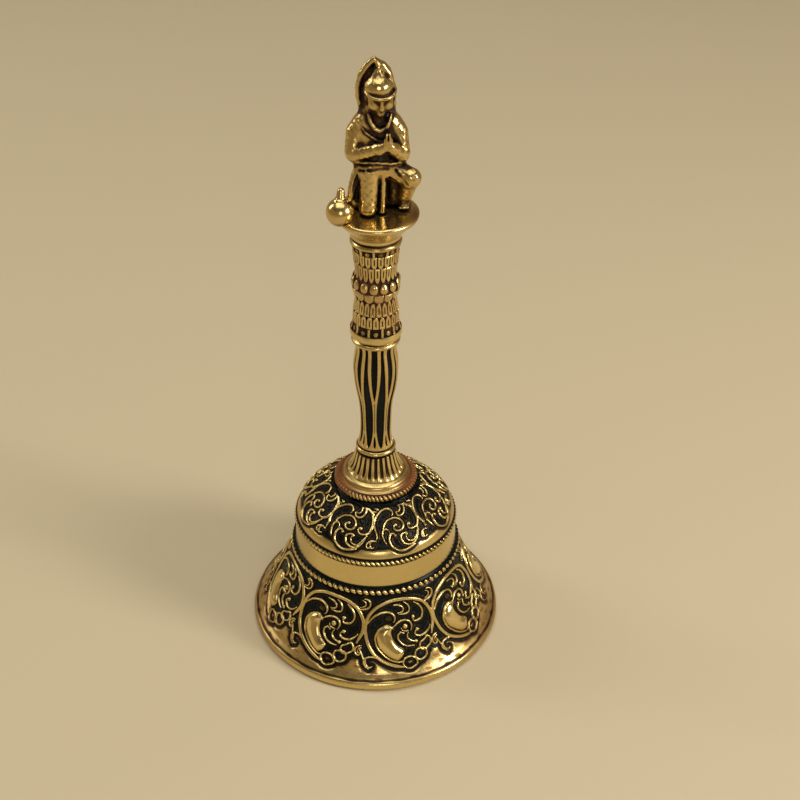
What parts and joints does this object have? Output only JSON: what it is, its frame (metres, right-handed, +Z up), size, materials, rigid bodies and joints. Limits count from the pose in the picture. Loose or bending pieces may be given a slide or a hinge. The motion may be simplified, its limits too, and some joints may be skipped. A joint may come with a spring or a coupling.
{
  "type": "puja bell",
  "caption": "Brass hand bell with a flared embossed cup, a turned and fluted handle topped by a kneeling figurine on a round platform, and a swinging ball clapper.",
  "frame": {"origin": "centre of the circle on which the bell's mouth rests, at the plane of the rim", "axes": "+Z up along the bell's axis to the figurine, the figurine faces -Y, +X to the right seen from the front"},
  "size_m": [0.072, 0.072, 0.1724],
  "materials": {
    "bell_brass": "antique brass, polished relief over black patina",
    "handle_brass": "antique brass, polished ridges over black patina",
    "figure_brass": "antique brass, softly polished",
    "inner_brass": "dull cast brass"
  },
  "bodies": {
    "root": {"bell_cup": "bell_brass", "handle_foot": "handle_brass", "neck_collar": "handle_brass", "grip": "handle_brass", "grip_collar": "handle_brass", "column": "handle_brass", "platform": "handle_brass", "figurine": "figure_brass", "mace": "figure_brass", "crown_washer": "inner_brass", "tie_rod": "inner_brass"},
    "link": {"clapper_link": "inner_brass"},
    "clapper": {"clapper_rod": "inner_brass", "clapper_ball": "inner_brass"}
  },
  "joints": [
    {"name": "link_swing", "type": "hinge", "parent": "root", "child": "link", "pos_m": [0, 0, 0.0355], "axis": [1, 0, 0], "range_deg": [-13, 13]},
    {"name": "clapper_swing", "type": "hinge", "parent": "link", "child": "clapper", "pos_m": [0, 0, 0.0313], "axis": [0, 1, 0], "range_deg": [-50, 50]}
  ]
}
